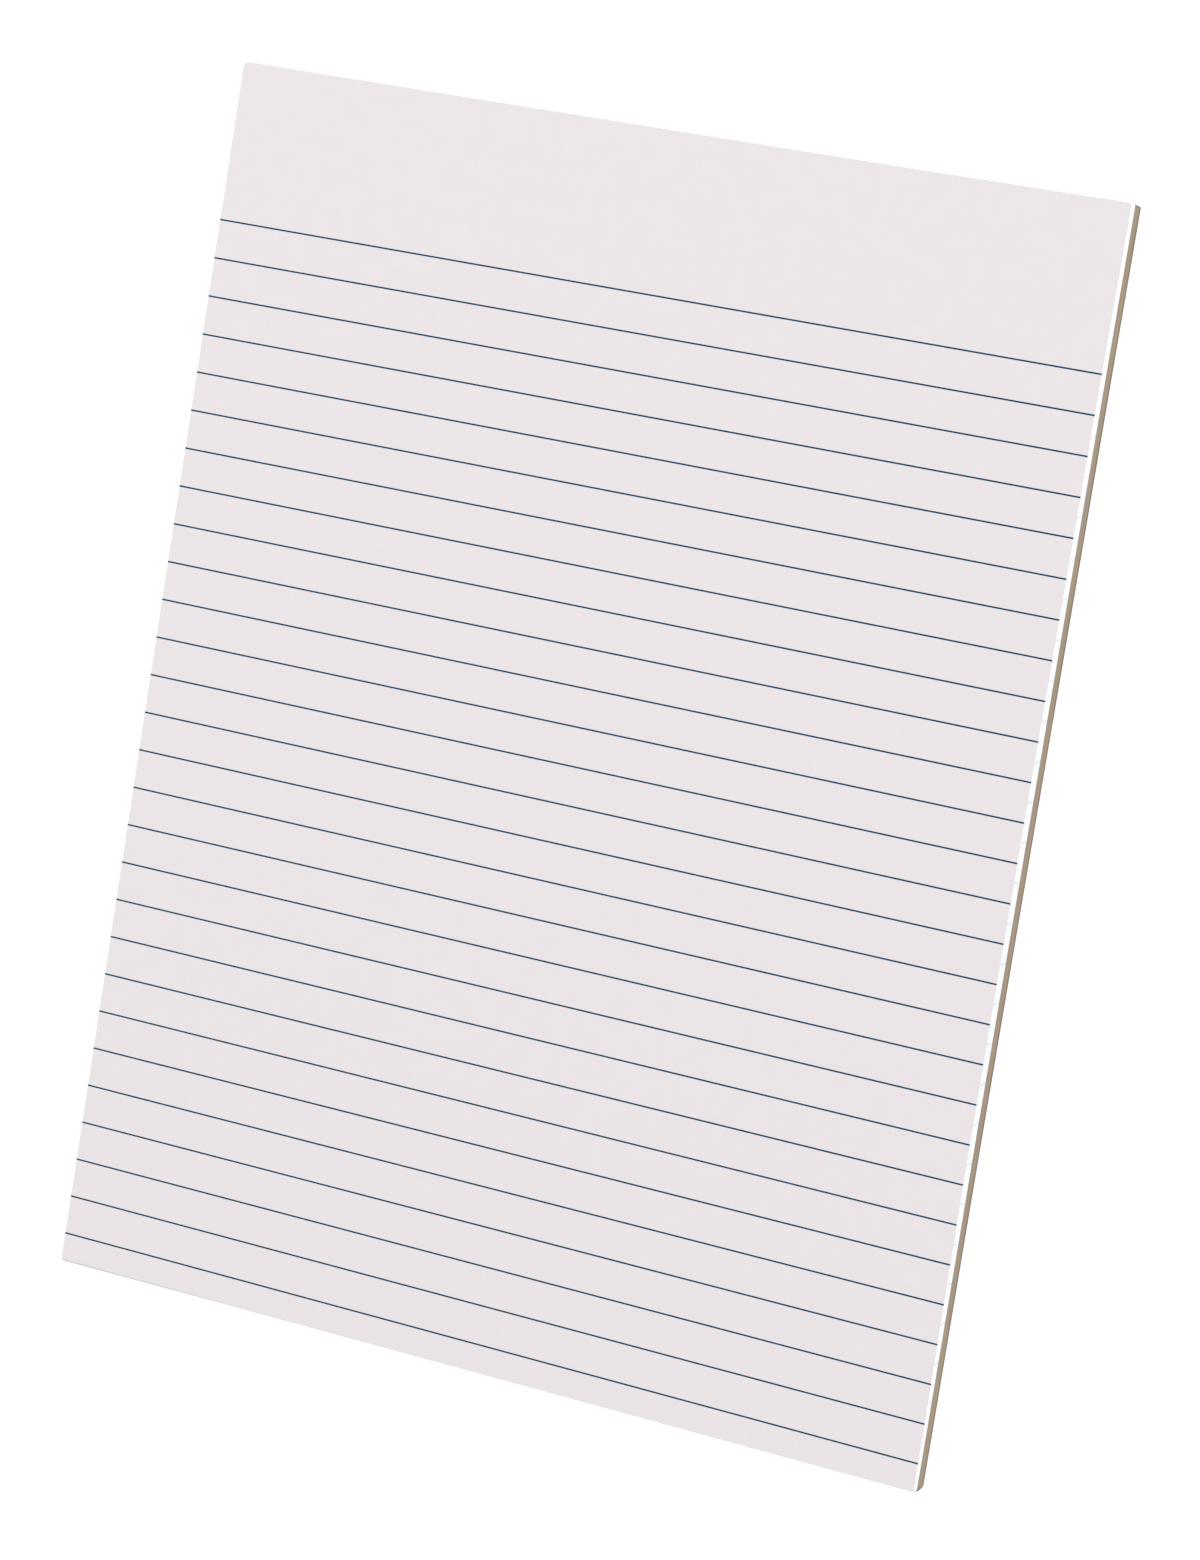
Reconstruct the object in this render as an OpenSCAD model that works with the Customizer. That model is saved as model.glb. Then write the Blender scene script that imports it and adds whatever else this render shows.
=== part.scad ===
// Glue-top writing pad: a stack of ruled sheets on a stiff board, held by a film of glue along the head.
// It lies on the board with its writing face up. X runs across the sheet and Y up the page, towards the
// glued head. The origin is on the surface that the pad lies on, under the middle of the pad.

/* [Sheets] */
// Width of a sheet
sheet_w = 215.9; // [100:0.1:330]
// Length of a sheet, from its foot to its head
sheet_l = 279.4; // [140:0.1:430]
// Number of sheets in the stack
sheet_count = 40; // [10:1:120]
// Thickness of one sheet
sheet_t = 0.0725; // [0.05:0.0025:0.15]
// Corner radius at the glued head
head_corner_r = 0.8; // [0.2:0.1:6]
// Corner radius at the free foot
foot_corner_r = 0.3; // [0.1:0.1:6]

/* [Ruling] */
// Clear space from the head to the middle of the first rule
head_margin = 36.15; // [8:0.05:80]
// Distance from one rule to the next
rule_pitch = 8.775; // [4:0.005:20]
// Least clear space from the last rule to the foot
foot_margin = 5; // [2:0.5:40]
// Width of a printed rule
rule_w = 0.35; // [0.1:0.05:1]
// Thickness of the printed ink
ink_t = 0.02; // [0.01:0.01:0.05]

/* [Backing board] */
// Thickness of the board
board_t = 3.95; // [1:0.05:6]
// Corner radius of the board
board_corner_r = 0.9; // [0.4:0.1:6]
// Radius of the arris that the trimming knife rolls over round the back of the board
board_arris_r = 0.3; // [0.1:0.05:0.8]

/* [Glue] */
// Thickness of the glue film on the head
glue_t = 0.25; // [0.1:0.05:1]

/* [Hidden] */
$fn = 64;

// Thickness of all the sheets together
stack_t = sheet_count * sheet_t;
// Height of the writing face above the surface that the pad lies on
face_z = board_t + stack_t;
// Foot and head of the trimmed sheets, with the glue counted in the length that the origin halves
foot_y = -(sheet_l + glue_t) / 2;
head_y = foot_y + sheet_l;
mid_y = (foot_y + head_y) / 2;
// Rules that fit between the two margins
rule_count = floor((sheet_l - head_margin - foot_margin) / rule_pitch) + 1;
// The glue covers the flat of the head, between the round corners and above the rolled arris
glue_w = sheet_w - 2 * max(head_corner_r, board_corner_r);
glue_h = face_z - board_arris_r;

// One end of a sheet, with its two round corners, reaching r from the X axis towards +Y
module sheet_end(r) {
    translate([-sheet_w / 2 + r, 0])
        square([sheet_w - 2 * r, r]);
    for (side = [-1, 1])
        translate([side * (sheet_w / 2 - r), 0])
            circle(r);
}

// Plan of a trimmed sheet
module sheet_plan() {
    translate([-sheet_w / 2, foot_y + foot_corner_r])
        square([sheet_w, sheet_l - foot_corner_r - head_corner_r]);
    translate([0, head_y - head_corner_r])
        sheet_end(head_corner_r);
    translate([0, foot_y + foot_corner_r])
        mirror([0, 1])
            sheet_end(foot_corner_r);
}

// Section through the board: square under the sheets and rolled over at the back
module board_section(width) {
    translate([-width / 2, board_arris_r])
        square([width, board_t - board_arris_r]);
    translate([-width / 2 + board_arris_r, 0])
        square([width - 2 * board_arris_r, board_arris_r]);
    for (side = [-1, 1])
        translate([side * (width / 2 - board_arris_r), board_arris_r])
            circle(board_arris_r);
}

// One corner of the board, turned from its section
module board_corner() {
    rotate_extrude()
        intersection() {
            board_section(2 * board_corner_r);
            square([board_corner_r, board_t]);
        }
}

// Section through the glue film: flat on the X axis, where it grips the head, with both ends flowed round
module glue_section(length) {
    intersection() {
        union() {
            translate([-length / 2 + glue_t, 0])
                square([length - 2 * glue_t, glue_t]);
            for (side = [-1, 1])
                translate([side * (length / 2 - glue_t), 0])
                    circle(glue_t);
        }
        translate([-length / 2, 0])
            square([length, glue_t]);
    }
}

// The stack of sheets, trimmed square and pressed into one block
module sheet_block() {
    color("#ECE6E8")
        translate([0, 0, board_t])
            linear_extrude(stack_t)
                sheet_plan();
}

// The rules printed on the top sheet, which run off both sides
module ruled_lines() {
    color("#24465C")
        for (i = [0 : rule_count - 1])
            translate([-sheet_w / 2, head_y - head_margin - i * rule_pitch - rule_w / 2, face_z])
                cube([sheet_w, rule_w, ink_t]);
}

// The board, rolled over along its four back edges and round its corners
module backing_board() {
    color("#A99784")
        translate([0, mid_y, 0]) {
            rotate([90, 0, 0])
                linear_extrude(sheet_l - 2 * board_corner_r, center = true)
                    board_section(sheet_w);
            rotate([90, 0, 90])
                linear_extrude(sheet_w - 2 * board_corner_r, center = true)
                    board_section(sheet_l);
            for (x = [-1, 1], y = [-1, 1])
                translate([x * (sheet_w / 2 - board_corner_r), y * (sheet_l / 2 - board_corner_r), 0])
                    board_corner();
        }
}

// The film of padding glue, which holds the heads of the sheets to each other and to the board
module glue_film() {
    color("#EFEBDD")
        translate([0, head_y, board_arris_r])
            intersection() {
                linear_extrude(glue_h)
                    glue_section(glue_w);
                translate([-glue_w / 2, 0, glue_h / 2])
                    rotate([90, 90, 90])
                        linear_extrude(glue_w)
                            glue_section(glue_h);
            }
}

sheet_block();
ruled_lines();
backing_board();
glue_film();
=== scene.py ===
"""The looks of a glue-top writing pad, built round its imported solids.

The sheets, the rules, the board and the glue are modelled again with the layers and the small
strays of a pad cut by a knife. Everything is in metres, in the frame of the solids: X across the
sheet, Y towards the head, Z up.
"""

import math

import bpy
import numpy as np
from mathutils import Matrix, Vector, noise


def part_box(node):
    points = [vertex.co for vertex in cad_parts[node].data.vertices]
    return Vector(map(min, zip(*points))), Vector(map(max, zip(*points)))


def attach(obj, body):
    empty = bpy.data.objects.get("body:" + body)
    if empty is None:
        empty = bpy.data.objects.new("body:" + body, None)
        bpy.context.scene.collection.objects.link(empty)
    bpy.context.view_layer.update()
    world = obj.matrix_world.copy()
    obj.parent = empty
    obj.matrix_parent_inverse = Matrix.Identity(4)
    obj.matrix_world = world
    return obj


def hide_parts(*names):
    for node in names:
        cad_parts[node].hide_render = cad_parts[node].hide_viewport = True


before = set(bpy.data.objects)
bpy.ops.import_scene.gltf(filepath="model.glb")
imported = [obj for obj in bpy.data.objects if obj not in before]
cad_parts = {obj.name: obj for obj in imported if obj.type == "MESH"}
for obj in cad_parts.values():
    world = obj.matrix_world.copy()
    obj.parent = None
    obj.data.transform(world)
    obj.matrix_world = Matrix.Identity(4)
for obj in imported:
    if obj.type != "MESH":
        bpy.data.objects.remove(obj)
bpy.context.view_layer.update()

MM = 0.001
SEED = 7

# Boxes of the solids
SHEETS_LOW, SHEETS_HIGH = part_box("sheet_block")
BOARD_LOW, BOARD_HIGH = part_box("backing_board")
GLUE_LOW, GLUE_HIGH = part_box("glue_film")
RULES_LOW, RULES_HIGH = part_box("ruled_lines")
FACE_MIDDLE = Vector((0, (SHEETS_LOW.y + SHEETS_HIGH.y) / 2, SHEETS_HIGH.z))

# Corner radii of the sheets, from the right of the foot anticlockwise
SHEET_CORNERS = np.array([0.35, 0.25, 0.8, 0.12]) * MM
# Corner radii of the board in the same order, each at three shares of its depth
BOARD_CORNER_DEPTHS = (0, 0.4, 1)
BOARD_CORNERS = np.array([
    [0.85, 0.4, 1.2],
    [0.3, 0.35, 0.45],
    [0.4, 0.5, 0.9],
    [0.4, 0.5, 0.9],
]) * MM
CORNER_STEPS = 8
# Faces that meet at a wider angle than this have a sharp edge between them
SHARP_ANGLE = math.radians(40)

# How far the cut sides of the top sheet stray outwards, in millimetres at shares of the way up or
# across it
RIGHT_STRAY = (
    (0, 0.05, 0.24, 0.4, 0.55, 0.75, 0.88, 1),
    (0.45, 0.44, -0.1, -0.2, -0.19, 0.02, 0.12, 0.33),
)
LEFT_STRAY = (0, 1), (-0.06, 0.1)
HEAD_STRAY = (0, 0.7, 1), (-0.06, 0, 0.2)
FOOT_STRAY = (0, 0.5, 1), (-0.22, -0.06, -0.06)
# The same at the foot of the lowest sheet and at the foot of the board
FOOT_FAN = (0, 0.25, 0.5, 1), (0.84, 0.56, 0.3, 0.3)
BOARD_FOOT = (0, 0.85, 1), (0.58, 0.58, 0.64)
# The share of the right side's stray that the lowest sheet and the board have
LOWEST_SHARE = 0.2
# How far the head of the board slants back from the sheets to its own back, in millimetres
BOARD_LEAN = 0.38

# The stack of sheets
SHEET_COUNT = 40
SHEET_POINT_GAP = 4 * MM
SHEET_SLIP = 0.05 * MM
SHEET_ROUGHNESS = 0.012 * MM
SHEET_ROUGH_SCALE = 60
SHEET_GROOVE = 0.025 * MM
# Shares of a sheet's thickness that the grooves along its lower and upper edges take
LOWER_GROOVE = 0.2
UPPER_GROOVE = 0.15

# The rules, as printed on every sheet of the stack
RULE_COUNT = 28
RULE_WIDTH = 0.35 * MM
RULE_PITCH = (RULES_HIGH.y - RULES_LOW.y - RULE_WIDTH) / (RULE_COUNT - 1)
# Where a tick of ink on the cut sides starts to fade and where it ends, in pitches from its middle
TICK_FADE = 0.015, 0.05

# The board's cut edge
BOARD_POINT_GAP = 1.6 * MM
BOARD_ARRIS = 0.4 * MM
ARRIS_STEPS = 5
BOARD_PLIES = 14
BOARD_ROUGHNESS = 0.04 * MM
BOARD_ROUGH_SCALE = 220
# How far a ply may stand out, in shares of the roughness, and the step in the noise between plies
PLY_OUT = -0.6, 0.2
PLY_STEP = 0.7

# The film of glue: its grid, its thickness at the rim and under the brush, how wide its borders
# thin out and how far they stray
GLUE_COLUMNS = 320
GLUE_ROWS = 18
GLUE_RIM = 0.02 * MM
GLUE_THIN = 0.1 * MM
GLUE_THICK = 0.22 * MM
GLUE_FEATHER = 0.8 * MM
BOTTOM_RAGGED = 0.35 * MM
TOP_RAGGED = 0.14 * MM
# The scales of the noise that shapes the borders and the strokes, and each border's row in it
BOTTOM_SCALE, BOTTOM_ROW = 90, 3
TOP_SCALE, TOP_ROW = 130, 9
STROKE_SCALE_X, STROKE_SCALE_Z = 40, 900

# The coordinates between which an edge changes its colour
INKED_SIDES = SHEETS_HIGH.x - 0.9 * MM, SHEETS_HIGH.x - 0.6 * MM
INK_TOP = RULES_HIGH.y + 0.7 * RULE_PITCH, RULES_HIGH.y + 0.9 * RULE_PITCH
# Painted shade along the foot of the stack, greyest at the left
SHADED_FOOT = SHEETS_LOW.y + 0.3 * MM, SHEETS_LOW.y + 0.8 * MM
SHADED_LEFT = SHEETS_LOW.x, SHEETS_LOW.x + 140 * MM
# Painted shade at the board's lower arris and at its corners
SHADED_ARRIS = BOARD_LOW.z + 0.6 * MM, BOARD_LOW.z + 1.35 * MM
SHADED_BOARD_FOOT = BOARD_LOW.y - 0.5 * MM, BOARD_LOW.y + 0.4 * MM
SHADED_BOARD_HEAD = BOARD_HIGH.y - 0.6 * MM, BOARD_HIGH.y + 0.2 * MM
SHADED_BOARD_SIDES = BOARD_HIGH.x - 1.5 * MM, BOARD_HIGH.x - 0.5 * MM
GLUED_BOARD = BOARD_HIGH.z - 0.2 * MM, BOARD_HIGH.z + 0.1 * MM

# The photograph's frame and its camera, which is placed and aimed from the middle of the writing
# face. The sensor's width is in millimetres.
IMAGE_W, IMAGE_H = 1200, 1560
FOCAL_PX = 5419
PRINCIPAL_X, PRINCIPAL_Y = 594.5, 668.35
SENSOR = 36
CLIP_END = 100
CAMERA_PLACE = Vector((504.1, 138.7, 1076.6)) * MM
CAMERA_AIM = Vector((2.6, 20.6, 0)) * MM
CAMERA_ROLL = math.radians(-9.18)

# A floor that glows so that the pad hardly shades it, two softboxes, and the light of the room
WHITE = (1, 1, 1, 1)
FLOOR_HALF = 8
FLOOR_GREY = (0.25, 0.25, 0.25, 1)
FLOOR_GLOW = 0.92
KEY_PLACE = Vector((2.4, 0.3, 1.7))
KEY_SIZE = 2.0
KEY_POWER = 36
FILL_PLACE = Vector((-1.2, 0.7, 1.4))
FILL_SIZE = 1.2
FILL_POWER = 11
ROOM_LIGHT = 0.6


def srgb(red, green, blue):
    """A colour as seen on screen, from 0 to 255, as the linear RGBA that shaders take."""
    def linear(value):
        share = value / 255
        return share / 12.92 if share <= 0.04045 else ((share + 0.055) / 1.055) ** 2.4
    return (linear(red), linear(green), linear(blue), 1)


# Materials

class Nodes:
    """Builds one material's nodes, in the texture space of the object's coordinates in metres."""

    def __init__(self, name, roughness, specular):
        self.material = bpy.data.materials.new(name)
        self.material.use_nodes = True
        self.tree = self.material.node_tree
        self.shader = self.tree.nodes["Principled BSDF"]
        self.shader.inputs["Roughness"].default_value = roughness
        self.shader.inputs["Specular IOR Level"].default_value = specular
        self.place = self.add("ShaderNodeTexCoord").outputs["Object"]

    def add(self, kind, **settings):
        node = self.tree.nodes.new(kind)
        for key, value in settings.items():
            setattr(node, key, value)
        return node

    def link(self, source, target):
        self.tree.links.new(source, target)

    def fill(self, socket, value):
        """Sets a socket to a number or colour, or links it to another node's output."""
        if isinstance(value, bpy.types.NodeSocket):
            self.link(value, socket)
        else:
            socket.default_value = value

    def scaled(self, x, y, z):
        """The object's coordinates with each axis stretched, for grain that runs one way."""
        node = self.add("ShaderNodeMapping")
        node.inputs["Scale"].default_value = (x, y, z)
        self.link(self.place, node.inputs["Vector"])
        return node.outputs["Vector"]

    def noise(self, scale, detail, distortion=0, vector=None):
        node = self.add("ShaderNodeTexNoise")
        node.inputs["Scale"].default_value = scale
        node.inputs["Detail"].default_value = detail
        node.inputs["Distortion"].default_value = distortion
        self.link(vector or self.place, node.inputs["Vector"])
        return node.outputs["Fac"]

    def grain(self, x, y, z, detail, distortion=0):
        """Noise with a scale of its own along each axis."""
        return self.noise(1, detail, distortion, self.scaled(x, y, z))

    def axis(self, name):
        node = self.add("ShaderNodeSeparateXYZ")
        self.link(self.place, node.inputs["Vector"])
        return node.outputs[name]

    def math(self, operation, first, second=0):
        node = self.add("ShaderNodeMath", operation=operation)
        self.fill(node.inputs[0], first)
        self.fill(node.inputs[1], second)
        return node.outputs["Value"]

    def times(self, first, second):
        return self.math("MULTIPLY", first, second)

    def spread(self, value, low, high, to_low=0, to_high=1):
        """Maps low..high of a value to another range, and stops at its ends."""
        node = self.add("ShaderNodeMapRange", interpolation_type="SMOOTHSTEP")
        self.link(value, node.inputs["Value"])
        node.inputs["From Min"].default_value = low
        node.inputs["From Max"].default_value = high
        node.inputs["To Min"].default_value = to_low
        node.inputs["To Max"].default_value = to_high
        return node.outputs["Result"]

    def mix(self, share, first, second):
        """Mixes two colours, for which a Mix node has inputs 6 and 7 and output 2."""
        node = self.add("ShaderNodeMix", data_type="RGBA")
        self.fill(node.inputs[0], share)
        self.fill(node.inputs[6], first)
        self.fill(node.inputs[7], second)
        return node.outputs[2]

    def finish(self, colour, height=None, depth=0, roughness=None):
        """Links the colour, and the height that bumps the surface by that many metres."""
        self.fill(self.shader.inputs["Base Color"], colour)
        if roughness is not None:
            self.link(roughness, self.shader.inputs["Roughness"])
        if height is not None:
            bump = self.add("ShaderNodeBump")
            bump.inputs["Distance"].default_value = depth
            self.link(height, bump.inputs["Height"])
            self.link(bump.outputs["Normal"], self.shader.inputs["Normal"])
        return self.material


def paper_face():
    """Uncoated writing paper: cloudy where the fibres lie unevenly, with a fine tooth."""
    n = Nodes("paper_face", roughness=0.9, specular=0.2)
    cloud = n.spread(n.noise(scale=260, detail=4), 0.3, 0.7)
    fibre = n.spread(n.noise(scale=2600, detail=3, distortion=0.6), 0.35, 0.65)
    colour = n.mix(cloud, srgb(236, 230, 232), srgb(237, 231, 233))
    colour = n.mix(n.times(fibre, 0.12), colour, srgb(229, 224, 226))
    return n.finish(colour, fibre, depth=0.008 * MM)


def rule_ends(n):
    """Where ink shows on the cut sides: broken ticks midway between the rules, and half a pitch
    beyond the first and the last of them."""
    lowest_rule = RULES_LOW.y + RULE_WIDTH / 2
    pitches_up = n.math("DIVIDE", n.math("SUBTRACT", n.axis("Y"), lowest_rule), RULE_PITCH)
    off_middle = n.math("ABSOLUTE", n.math("SUBTRACT", n.math("FRACT", pitches_up), 0.5))
    tick = n.spread(off_middle, *TICK_FADE, 1, 0)
    broken = n.spread(n.grain(900, 900, 5000, detail=2), 0.3, 0.6, 0.25, 1)
    side = n.spread(n.math("ABSOLUTE", n.axis("X")), *INKED_SIDES)
    ruled = n.spread(n.axis("Y"), *INK_TOP, 1, 0)
    return n.times(n.times(tick, broken), n.times(side, ruled))


def foot_painted_shade(n):
    """Where painted shade greys the foot of the stack, most of all at the left."""
    foot = n.spread(n.axis("Y"), *SHADED_FOOT, 1, 0)
    leftward = n.spread(n.axis("X"), *SHADED_LEFT, 0.5, 0)
    return n.times(foot, leftward)


def paper_edge():
    """The cut edges of the stack: a streak for each sheet, the ends of the rules that ran off under
    the knife, and painted shade along the foot."""
    n = Nodes("paper_edge", roughness=0.92, specular=0.15)
    streak = n.spread(n.grain(18, 18, 9000, detail=3), 0.3, 0.7)
    colour = n.mix(streak, srgb(237, 239, 239), srgb(251, 253, 253))
    colour = n.mix(n.times(rule_ends(n), 0.4), colour, srgb(190, 205, 220))
    # Painted shade on the foot of the stack, for its side turned away from the light
    colour = n.mix(foot_painted_shade(n), colour, srgb(206, 208, 207))
    return n.finish(colour, streak, depth=0.02 * MM)


def rule_ink():
    """Dark blue ink, a little thinner where the paper's tooth took less of it."""
    n = Nodes("rule_ink", roughness=0.95, specular=0.05)
    taken = n.spread(n.noise(scale=1800, detail=3), 0.35, 0.7)
    colour = n.mix(taken, srgb(0, 60, 86), srgb(2, 74, 105))
    return n.finish(colour, taken, depth=0.006 * MM)


def board_face():
    """Unlined chipboard: grey-brown pulp with fibres, and with flecks of the paper that it was."""
    n = Nodes("board_face", roughness=0.93, specular=0.15)
    cloud = n.spread(n.noise(scale=140, detail=4), 0.3, 0.7)
    colour = n.mix(cloud, srgb(150, 137, 121), srgb(160, 146, 129))
    fibre = n.spread(n.grain(500, 1900, 900, detail=4, distortion=1.5), 0.35, 0.65)
    colour = n.mix(n.times(fibre, 0.35), colour, srgb(172, 158, 140))
    fleck = n.spread(n.noise(scale=1100, detail=2), 0.66, 0.72)
    colour = n.mix(n.times(fleck, 0.6), colour, srgb(104, 96, 88))
    pale = n.spread(n.noise(scale=700, detail=1, vector=n.scaled(1.0, 1.3, 1.7)), 0.7, 0.76)
    colour = n.mix(n.times(pale, 0.5), colour, srgb(196, 186, 170))
    return n.finish(colour, n.math("ADD", fibre, cloud), depth=0.03 * MM)


def board_painted_shade(n):
    """Where painted shade darkens the board's edge: at the arris that the blade rolled over, and at
    the corners.
    """
    # Painted shade on the rounded lower arris
    rolled = n.spread(n.axis("Z"), *SHADED_ARRIS, 0.75, 0)
    foot = n.spread(n.axis("Y"), *SHADED_BOARD_FOOT, 1, 0)
    head = n.spread(n.axis("Y"), *SHADED_BOARD_HEAD)
    side = n.spread(n.math("ABSOLUTE", n.axis("X")), *SHADED_BOARD_SIDES)
    # Painted shade at the corners of the board's sides
    corner = n.times(n.math("MAXIMUM", foot, head), n.times(side, 0.75))
    return n.math("MAXIMUM", rolled, corner)


def board_edge():
    """The board where the knife cut it: thin plies, blotches and flecks, and painted shade at the
    lower arris and at the corners.
    """
    n = Nodes("board_edge", roughness=0.93, specular=0.15)
    ply = n.spread(n.grain(40, 40, 2600, detail=3), 0.3, 0.7)
    colour = n.mix(ply, srgb(147, 131, 114), srgb(162, 146, 127))
    blotch = n.spread(n.grain(160, 160, 700, detail=3), 0.35, 0.7)
    colour = n.mix(n.times(blotch, 0.4), colour, srgb(157, 138, 120))
    fleck = n.spread(n.noise(scale=1500, detail=2), 0.66, 0.72)
    colour = n.mix(n.times(fleck, 0.4), colour, srgb(110, 101, 92))
    # Painted shade at the lower arris and the corners
    colour = n.mix(board_painted_shade(n), colour, srgb(100, 92, 80))
    return n.finish(colour, ply, depth=0.05 * MM)


def glue():
    """Padding glue, brushed along the head and dried to a satin skin that the board shows through,
    most of all where the skin is thin."""
    n = Nodes("glue", roughness=0.4, specular=0.5)
    stroke = n.spread(n.grain(25, 300, 2200, detail=4), 0.3, 0.7)
    colour = n.mix(stroke, srgb(236, 236, 231), srgb(245, 245, 242))
    thin = n.spread(n.grain(70, 70, 500, detail=2), 0.55, 0.75)
    colour = n.mix(n.times(thin, 0.35), colour, srgb(224, 222, 214))
    board = n.spread(n.axis("Z"), *GLUED_BOARD, 1, 0)
    clear = n.spread(thin, 0, 1, 0.45, 0.75)
    colour = n.mix(n.times(board, clear), colour, srgb(170, 155, 136))
    n.shader.inputs["Coat Weight"].default_value = 0.2
    n.shader.inputs["Coat Roughness"].default_value = 0.3
    return n.finish(colour, stroke, depth=0.04 * MM, roughness=n.spread(stroke, 0, 1, 0.32, 0.5))


# Meshes

def link(name, data):
    """Puts a mesh, a camera or a light into the scene."""
    piece = bpy.data.objects.new(name, data)
    bpy.context.scene.collection.objects.link(piece)
    return piece


def dress(piece, node):
    """Lets a piece stand for a solid, on the pad's one body."""
    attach(piece, "root")
    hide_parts(node)


def plan(low, high, radii, gap):
    """Points round a rectangle with round corners, anticlockwise, and the way each point faces."""
    corners = ((high.x, low.y), (high.x, high.y), (low.x, high.y), (low.x, low.y))
    arcs = []
    for quarter, ((x, y), r) in enumerate(zip(corners, radii)):
        turn = np.radians(90 * (quarter - 1) + np.linspace(0, 90, CORNER_STEPS + 1))
        facing = np.stack([np.cos(turn), np.sin(turn)], axis=1)
        inwards = np.sign([low.x + high.x - 2 * x, low.y + high.y - 2 * y])
        arcs.append((np.array([x, y]) + r * (inwards + facing), facing))
    points, facings = [], []
    sides = (high.y - low.y, high.x - low.x) * 2
    for (arc, facing), (next_arc, _), side in zip(arcs, arcs[1:] + arcs[:1], sides):
        count = round(side / gap)
        share = np.arange(1, count)[:, None] / count
        points += [arc, arc[-1] + (next_arc[0] - arc[-1]) * share]
        facings += [facing, np.repeat(facing[-1:], count - 1, axis=0)]
    return np.concatenate(points), np.concatenate(facings)


def ring(points, facings, offset, z):
    """One level of a stack: the outline moved outwards by offset, at height z."""
    moved = points + facings * np.reshape(offset, (-1, 1))
    return np.column_stack([moved, np.full(len(moved), z)])


def loft(name, rings, side, cap):
    """A closed piece through a stack of rings, with one material on its sides and one on its two
    flat ends, which are fans of triangles round their middles."""
    count = len(rings[0])
    top = (len(rings) - 1) * count
    low_middle = len(rings) * count
    high_middle = low_middle + 1
    sides, ends = [], []
    for i in range(count):
        j = (i + 1) % count
        for low in range(0, top, count):
            sides.append((low + i, low + j, low + count + j, low + count + i))
        ends += [(low_middle, j, i), (high_middle, top + i, top + j)]
    middles = [rings[0].mean(axis=0), rings[-1].mean(axis=0)]
    mesh = bpy.data.meshes.new(name)
    mesh.from_pydata(np.concatenate(rings + [middles]).tolist(), [], sides + ends)
    mesh.materials.append(side)
    mesh.materials.append(cap)
    mesh.polygons.foreach_set("material_index", [0] * len(sides) + [1] * len(ends))
    mesh.polygons.foreach_set("use_smooth", [True] * len(sides) + [False] * len(ends))
    mesh.set_sharp_from_angle(angle=SHARP_ANGLE)
    return link(name, mesh)


def rough(points, scale, level):
    """Smooth noise from -1 to 1 at points of an outline, on one level of a stack."""
    return np.array([noise.noise(Vector((x * scale, y * scale, level))) for x, y in points])


def shares(points):
    """How far points lie across the sheets and up them, from 0 to 1."""
    low, high = np.array(SHEETS_LOW.xy), np.array(SHEETS_HIGH.xy)
    return ((points - low) / (high - low)).T


def strayed(points, right_share, head_back, foot):
    """An outline as the knife left it, from its straight cut. The right side takes that share of
    the top sheet's stray, the head stands back by head_back, and the foot stands out by foot, both
    in millimetres."""
    across, upward = shares(points)
    right = right_share * np.interp(upward, *RIGHT_STRAY)
    left = np.interp(upward, *LEFT_STRAY)
    head = np.interp(across, *HEAD_STRAY) - head_back
    moves = across * right - (1 - across) * left, upward * head - (1 - upward) * foot
    return points + np.column_stack(moves) * MM


def sheet_outline(points, height):
    """The outline of a sheet, from the lowest at height 0 to the top one at height 1. Down the
    stack the feet fan out, most quickly just under the top sheet."""
    across, _ = shares(points)
    fan = math.sqrt(1 - height)
    foot = (1 - fan) * np.interp(across, *FOOT_STRAY) + fan * np.interp(across, *FOOT_FAN)
    return strayed(points, LOWEST_SHARE + (1 - LOWEST_SHARE) * height, 0, foot)


def make_sheets(draw):
    """The stack: a groove between each two sheets, whose free ends have slipped a little on each
    other. The top sheet hasn't slipped."""
    straight, facings = plan(SHEETS_LOW, SHEETS_HIGH, SHEET_CORNERS, SHEET_POINT_GAP)
    free = (SHEETS_HIGH.y - straight[:, 1]) / (SHEETS_HIGH.y - SHEETS_LOW.y)
    thickness = (SHEETS_HIGH.z - SHEETS_LOW.z) / SHEET_COUNT
    rings = []
    for k in range(SHEET_COUNT):
        points = sheet_outline(straight, k / (SHEET_COUNT - 1))
        slip = np.clip(facings @ draw.normal(0, SHEET_SLIP / 2, 2), -SHEET_SLIP, SHEET_SLIP)
        edge = slip * free + rough(points, SHEET_ROUGH_SCALE, k) * SHEET_ROUGHNESS
        if k == SHEET_COUNT - 1:
            edge = np.zeros(len(points))
        z = SHEETS_LOW.z + k * thickness
        rings.append(ring(points, facings, edge - SHEET_GROOVE, z))
        rings.append(ring(points, facings, edge, z + LOWER_GROOVE * thickness))
        rings.append(ring(points, facings, edge, z + (1 - UPPER_GROOVE) * thickness))
    rings.append(ring(points, facings, edge - UPPER_GROOVE * thickness, SHEETS_HIGH.z))
    piece = loft("sheets", rings, paper_edge(), paper_face())
    dress(piece, "sheet_block")


def board_depth(z):
    """How deep a height lies in the board: 0 under the sheets, 1 at the back."""
    return min(1, max(0, (BOARD_HIGH.z - z) / (BOARD_HIGH.z - BOARD_LOW.z)))


def board_levels():
    """Heights up the board's edge, each with how far the rolled arris stands back there."""
    levels = []
    for turn in np.radians(np.linspace(0, 90, ARRIS_STEPS + 1)):
        rise = BOARD_ARRIS * (1 - math.cos(turn))
        levels.append((BOARD_LOW.z + rise, BOARD_ARRIS * (1 - math.sin(turn))))
    for z in np.linspace(BOARD_LOW.z + BOARD_ARRIS, BOARD_HIGH.z, BOARD_PLIES + 1)[1:]:
        levels.append((z, 0))
    return levels


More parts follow.
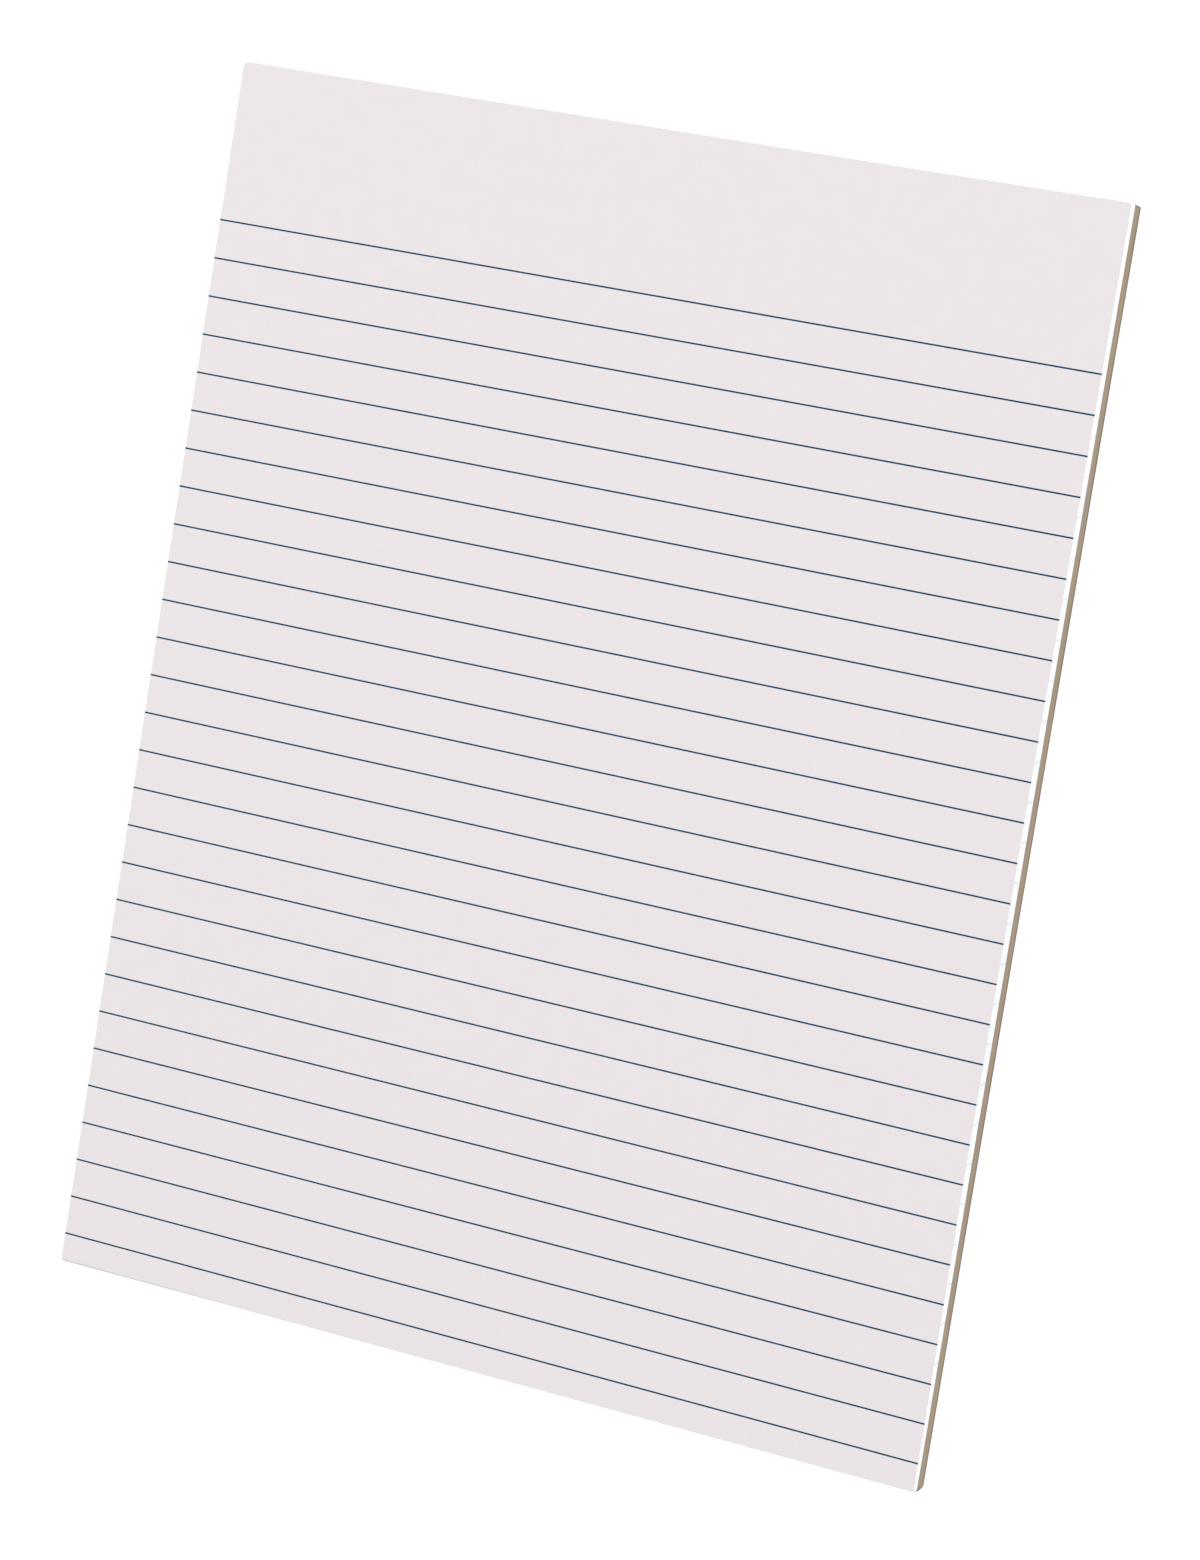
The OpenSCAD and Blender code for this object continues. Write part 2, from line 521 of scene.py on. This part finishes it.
def make_board(draw):
    """The chipboard: a rolled arris round the back, then plies that the knife left a little uneven.
    Its head slants back under the sheets, its foot reaches out from under them, and its corners are
    more worn towards the back."""
    rings = []
    for k, (z, inset) in enumerate(board_levels()):
        depth = board_depth(z)
        radii = [np.interp(depth, BOARD_CORNER_DEPTHS, corner) for corner in BOARD_CORNERS]
        straight, facings = plan(BOARD_LOW, BOARD_HIGH, radii, BOARD_POINT_GAP)
        foot = np.interp(shares(straight)[0], *BOARD_FOOT)
        points = strayed(straight, LOWEST_SHARE, BOARD_LEAN * depth, foot)
        edge = -inset
        if inset == 0:
            ply = draw.uniform(*PLY_OUT)
            edge = (ply + rough(straight, BOARD_ROUGH_SCALE, k * PLY_STEP)) * BOARD_ROUGHNESS
        rings.append(ring(points, facings, edge, z))
    piece = loft("board", rings, board_edge(), board_face())
    dress(piece, "backing_board")


def wave(x, y, z):
    """Smooth noise from 0 to 1."""
    return 0.5 + 0.5 * noise.noise(Vector((x, y, z)))


def shell_faces(columns, rows):
    """Faces of a closed shell between two grids of points, listed row by row, the outer first."""
    row = columns + 1
    size = row * (rows + 1)
    starts = [r * row + c for r in range(rows) for c in range(columns)]
    outer = [(i + row, i + row + 1, i + 1, i) for i in starts]
    inner = [tuple(size + i for i in reversed(face)) for face in outer]
    bottom = list(range(columns))
    right = [r * row + columns for r in range(rows)]
    top = [rows * row + c for c in range(columns, 0, -1)]
    left = [r * row for r in range(rows, 0, -1)]
    rim = bottom + right + top + left
    border = [(a, b, b + size, a + size) for a, b in zip(rim, rim[1:] + rim[:1])]
    return outer + inner + border


def make_glue():
    """The film on the head: ragged and thin at its borders, uneven along the brush's strokes."""
    span = GLUE_HIGH - GLUE_LOW
    outer, inner = [], []
    for v in np.linspace(0, 1, GLUE_ROWS + 1):
        for u in np.linspace(0, 1, GLUE_COLUMNS + 1):
            x = GLUE_LOW.x + u * span.x
            bottom = GLUE_LOW.z + BOTTOM_RAGGED * wave(x * BOTTOM_SCALE, BOTTOM_ROW, 0)
            top = GLUE_HIGH.z - TOP_RAGGED * wave(x * TOP_SCALE, TOP_ROW, 0)
            z = bottom + v * (top - bottom)
            inwards = min(min(u, 1 - u) * span.x, min(v, 1 - v) * span.z)
            feather = min(1, inwards / GLUE_FEATHER)
            swell = math.sqrt(feather * (2 - feather))
            stroke = wave(x * STROKE_SCALE_X, 0, z * STROKE_SCALE_Z)
            full = GLUE_THIN + (GLUE_THICK - GLUE_THIN) * stroke
            stray = np.interp(u, *HEAD_STRAY) - BOARD_LEAN * board_depth(z)
            head = GLUE_LOW.y + stray * MM
            outer.append((x, head + GLUE_RIM + swell * (full - GLUE_RIM), z))
            inner.append((x, head, z))
    mesh = bpy.data.meshes.new("glue")
    mesh.from_pydata(outer + inner, [], shell_faces(GLUE_COLUMNS, GLUE_ROWS))
    mesh.materials.append(glue())
    mesh.shade_smooth()
    mesh.set_sharp_from_angle(angle=SHARP_ANGLE)
    dress(link("glue", mesh), "glue_film")


def make_rules():
    """The rules: thin strips of ink, which run off both sides of the top sheet. Each is a box whose
    corners are listed by X, then by Y, then by Z."""
    box = ((0, 1, 3, 2), (4, 6, 7, 5), (0, 4, 5, 1), (2, 3, 7, 6), (0, 2, 6, 4), (1, 5, 7, 3))
    points, faces = [], []
    for i in range(RULE_COUNT):
        y = RULES_LOW.y + RULE_WIDTH / 2 + i * RULE_PITCH
        straight = np.array([(SHEETS_LOW.x, y), (SHEETS_HIGH.x, y)])
        faces += [tuple(len(points) + corner for corner in face) for face in box]
        for x, _ in sheet_outline(straight, 1):
            for side in (y - RULE_WIDTH / 2, y + RULE_WIDTH / 2):
                points += [(x, side, RULES_LOW.z), (x, side, RULES_HIGH.z)]
    mesh = bpy.data.meshes.new("rules")
    mesh.from_pydata(points, [], faces)
    mesh.materials.append(rule_ink())
    dress(link("rules", mesh), "ruled_lines")


# Camera, floor and light

def make_camera():
    """The photograph's camera, with its principal point off the middle of the frame."""
    data = bpy.data.cameras.new("camera")
    data.sensor_width = SENSOR
    data.lens = FOCAL_PX / IMAGE_H * SENSOR
    data.shift_x = (IMAGE_W / 2 - PRINCIPAL_X) / IMAGE_H
    data.shift_y = (PRINCIPAL_Y - IMAGE_H / 2) / IMAGE_H
    data.clip_end = CLIP_END
    camera = link("camera", data)
    ahead = (CAMERA_AIM - CAMERA_PLACE).normalized()
    page_up = Vector((0, 1, 0))
    up = (page_up - ahead * ahead.dot(page_up)).normalized()
    up.rotate(Matrix.Rotation(-CAMERA_ROLL, 3, -ahead))
    right = ahead.cross(up)
    turn = Matrix((right, up, -ahead)).transposed().to_4x4()
    camera.matrix_world = Matrix.Translation(FACE_MIDDLE + CAMERA_PLACE) @ turn
    bpy.context.scene.camera = camera


def make_floor():
    """The white ground, at the height of the board's back."""
    corners = ((-1, -1), (1, -1), (1, 1), (-1, 1))
    mesh = bpy.data.meshes.new("floor")
    mesh.from_pydata([(x * FLOOR_HALF, y * FLOOR_HALF, 0) for x, y in corners], [], [(0, 1, 2, 3)])
    n = Nodes("floor", roughness=0.9, specular=0)
    n.shader.inputs["Emission Color"].default_value = WHITE
    n.shader.inputs["Emission Strength"].default_value = FLOOR_GLOW
    mesh.materials.append(n.finish(FLOOR_GREY))
    link("floor", mesh)


def make_softbox(name, place, size, power):
    """A square light that faces the middle of the writing face."""
    data = bpy.data.lights.new(name, "AREA")
    data.shape = "SQUARE"
    data.size = size
    data.energy = power
    light = link(name, data)
    light.location = place
    light.rotation_euler = (FACE_MIDDLE - place).to_track_quat("-Z", "Y").to_euler()


def make_light():
    """A bright room with a softbox on either side of the pad, shown without a film curve."""
    world = bpy.data.worlds.new("studio")
    world.use_nodes = True
    background = world.node_tree.nodes["Background"]
    background.inputs["Color"].default_value = WHITE
    background.inputs["Strength"].default_value = ROOM_LIGHT
    bpy.context.scene.world = world
    make_softbox("key", KEY_PLACE, KEY_SIZE, KEY_POWER)
    make_softbox("fill", FILL_PLACE, FILL_SIZE, FILL_POWER)
    bpy.context.scene.view_settings.view_transform = "Standard"


draw = np.random.default_rng(SEED)
make_sheets(draw)
make_board(draw)
make_glue()
make_rules()
make_camera()
make_floor()
make_light()
